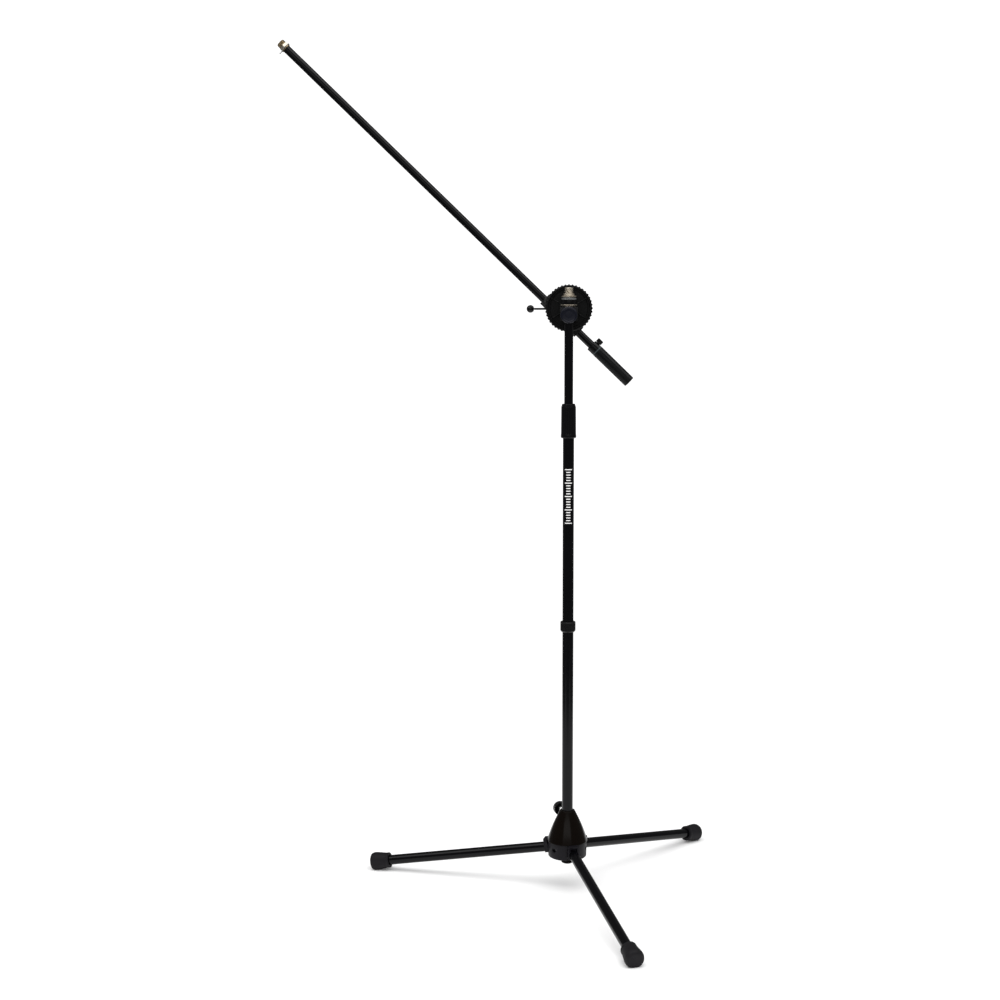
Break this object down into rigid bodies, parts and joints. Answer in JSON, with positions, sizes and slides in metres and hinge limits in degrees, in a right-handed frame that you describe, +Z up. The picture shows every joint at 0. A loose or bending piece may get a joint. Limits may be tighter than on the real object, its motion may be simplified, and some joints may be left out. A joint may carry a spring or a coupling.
{
  "type": "boom microphone stand",
  "caption": "Folding tripod microphone stand with a telescopic mast, a tilting boom arm with sliding clamp and counterweight, and threaded studs for microphone clips.",
  "frame": {"origin": "on the floor, on the mast axis, at the centre of the three feet", "axes": "+Z up along the mast; the boom swings in a plane parallel to XZ with its tip towards -X; +Y to the boom side of the mast"},
  "size_m": [0.817, 0.6817, 1.5908],
  "materials": {
    "satin_plastic": "satin, fine moulded texture",
    "gloss_plastic": "glossy moulded",
    "brass": "turned",
    "zinc_steel": "zinc plated",
    "grip_plastic": "satin moulded",
    "bright_screw": "bright zinc plated",
    "black_paint": "semi-gloss powder coat",
    "foot_rubber": "matt moulded rubber",
    "collar_plastic": "satin moulded",
    "bush_plastic": "natural nylon",
    "nickel": "bright nickel plated",
    "cast_black": "satin black paint over a casting",
    "knob_plastic": "satin moulded",
    "wheel_plastic": "satin moulded",
    "fibre": "pressed fibre",
    "black_steel": "blackened steel",
    "ball_plastic": "polished",
    "weight_steel": "turned bar",
    "weight_plastic": "satin moulded sleeve",
    "band_plastic": "satin moulded"
  },
  "bodies": {
    "mast": {"mast_foot_plug": "gloss_plastic", "mast_lower_tube": "black_paint", "mast_middle_tube": "black_paint", "mast_joint_collar": "collar_plastic", "clutch_body": "collar_plastic", "clutch_collet": "bush_plastic"},
    "hub": {"hub_body": "satin_plastic", "hub_cone": "gloss_plastic", "hub_lock_pad": "brass", "leg_pivot_bolts": "black_steel"},
    "hub_knob": {"hub_lock_knob": "grip_plastic", "hub_lock_screw": "bright_screw"},
    "leg_front": {"leg_front_hinge": "satin_plastic", "leg_front_tube": "black_paint", "foot_front": "foot_rubber"},
    "leg_left": {"leg_left_hinge": "satin_plastic", "leg_left_tube": "black_paint", "foot_left": "foot_rubber"},
    "leg_right": {"leg_right_hinge": "satin_plastic", "leg_right_tube": "black_paint", "foot_right": "foot_rubber"},
    "clutch_grip": {"clutch_grip": "grip_plastic"},
    "guide": {"guide_bush": "bush_plastic"},
    "head": {"upper_tube": "black_paint", "head_stud": "nickel", "head_bracket": "cast_black", "head_plate": "nickel", "head_spacer": "grip_plastic", "head_lock_washer": "zinc_steel", "head_washer": "nickel", "head_nut": "nickel", "tilt_stud": "zinc_steel", "tilt_spacer": "zinc_steel", "tilt_washer": "zinc_steel", "tilt_nut": "zinc_steel"},
    "head_knob": {"head_lock_knob": "knob_plastic", "head_lock_screw": "bright_screw"},
    "tilt_wheel": {"tilt_wheel": "wheel_plastic", "tilt_wheel_insert": "brass"},
    "boom_clamp": {"tilt_friction_disc": "fibre", "boom_clamp": "cast_black", "clamp_bushes": "collar_plastic", "clamp_pad": "brass"},
    "clamp_lever": {"lever_screw": "black_steel", "lever_rod": "black_steel", "lever_ball": "ball_plastic"},
    "boom": {"boom_tube": "black_paint", "tip_stud": "brass", "tip_washer": "zinc_steel", "tip_nut": "nickel"},
    "counterweight": {"weight_core": "weight_steel", "weight_sleeve": "weight_plastic", "weight_band": "band_plastic", "weight_collar": "grip_plastic"},
    "weight_screw": {"weight_screw": "grip_plastic"}
  },
  "joints": [
    {"name": "hub_slide", "type": "slide", "parent": "mast", "child": "hub", "axis": [0, 0, 1], "range_m": [-0.008, 0.3]},
    {"name": "leg_front_fold", "type": "hinge", "parent": "hub", "child": "leg_front", "pos_m": [0.00541, -0.01769, 0.08015], "axis": [0.9563, 0.2924, 0], "range_deg": [0, 73]},
    {"name": "leg_left_fold", "type": "hinge", "parent": "hub", "child": "leg_left", "pos_m": [-0.01803, 0.00416, 0.08015], "axis": [-0.225, -0.9744, 0], "range_deg": [0, 73]},
    {"name": "leg_right_fold", "type": "hinge", "parent": "hub", "child": "leg_right", "pos_m": [0.01262, 0.01353, 0.08015], "axis": [-0.7314, 0.682, 0], "range_deg": [0, 73]},
    {"name": "hub_lock_turn", "type": "hinge", "parent": "hub", "child": "hub_knob", "pos_m": [0, 0, 0.14], "axis": [-0.2924, 0.9563, 0], "range_deg": [0, 540]},
    {"name": "clutch_turn", "type": "hinge", "parent": "mast", "child": "clutch_grip", "pos_m": [0, 0, 0.88], "axis": [0, 0, 1], "range_deg": [0, 180]},
    {"name": "mast_height", "type": "slide", "parent": "mast", "child": "guide", "axis": [0, 0, 1], "range_m": [-0.149, 0.51]},
    {"name": "mast_swivel", "type": "hinge", "parent": "guide", "child": "head", "pos_m": [0, 0, 1], "axis": [0, 0, 1], "continuous": true},
    {"name": "head_lock_turn", "type": "hinge", "parent": "head", "child": "head_knob", "pos_m": [0, -0.02, 1.0884], "axis": [0, -1, 0], "range_deg": [0, 360]},
    {"name": "tilt_wheel_turn", "type": "hinge", "parent": "head", "child": "tilt_wheel", "pos_m": [0, 0.03, 1.1], "axis": [0, -1, 0], "continuous": true},
    {"name": "boom_tilt", "type": "hinge", "parent": "head", "child": "boom_clamp", "pos_m": [0, 0.048, 1.1], "axis": [0, 1, 0], "range_deg": [-100, 46]},
    {"name": "clamp_lever_turn", "type": "hinge", "parent": "boom_clamp", "child": "clamp_lever", "pos_m": [-0.02742, 0.068, 1.09867], "axis": [0, 1, 0], "range_deg": [-60, 60]},
    {"name": "boom_slide", "type": "slide", "parent": "boom_clamp", "child": "boom", "axis": [-0.7193, 0, 0.6947], "range_m": [-0.56, 0.012]},
    {"name": "weight_slide", "type": "slide", "parent": "boom", "child": "counterweight", "axis": [-0.7193, 0, 0.6947], "range_m": [0, 0.018]},
    {"name": "weight_screw_turn", "type": "hinge", "parent": "counterweight", "child": "weight_screw", "pos_m": [0.05523, 0.048, 1.03555], "axis": [0.6947, 0, 0.7193], "range_deg": [0, 540]}
  ]
}
